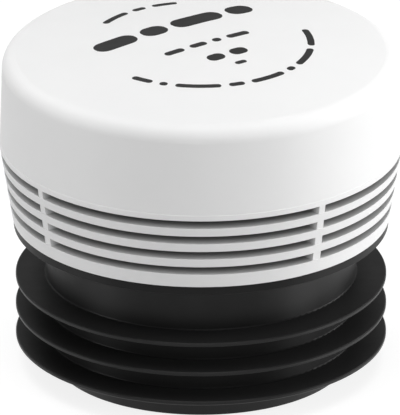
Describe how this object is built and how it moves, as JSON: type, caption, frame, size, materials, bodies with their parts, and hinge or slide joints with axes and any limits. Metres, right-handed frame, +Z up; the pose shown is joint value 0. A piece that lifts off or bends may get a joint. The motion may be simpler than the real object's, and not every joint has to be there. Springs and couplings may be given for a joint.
{
  "type": "air admittance valve",
  "caption": "Round drain air admittance valve: white louvred cap over a lifting ring membrane, on a black rubber sleeve with sealing fins that fits a soil or waste pipe.",
  "frame": {"origin": "centre of the lower end of the rubber sleeve, where the valve stands on a flat surface", "axes": "+Z up the valve's axis from the sleeve to the cap; +X and +Y midway between the louvre posts"},
  "size_m": [0.1224, 0.1224, 0.1047],
  "materials": {
    "white_plastic": "satin moulded",
    "black_plastic": "satin moulded",
    "sleeve_rubber": "soft matt",
    "grey_plastic": "moulded",
    "membrane_rubber": "smooth",
    "carrier_plastic": "natural moulded",
    "clip_steel": "stamped"
  },
  "bodies": {
    "housing": {"cap": "white_plastic", "louvre_ring": "white_plastic", "base": "black_plastic", "sealing_sleeve": "sleeve_rubber", "seat_housing": "grey_plastic", "chamber_lid": "grey_plastic", "lid_o_ring": "membrane_rubber", "insect_screen": "grey_plastic"},
    "float": {"membrane_carrier": "carrier_plastic", "membrane": "membrane_rubber", "membrane_retainer": "carrier_plastic", "stem_clip": "clip_steel"}
  },
  "joints": [
    {"name": "membrane_lift", "type": "slide", "parent": "housing", "child": "float", "axis": [0, 0, 1], "range_m": [0, 0.008]}
  ]
}
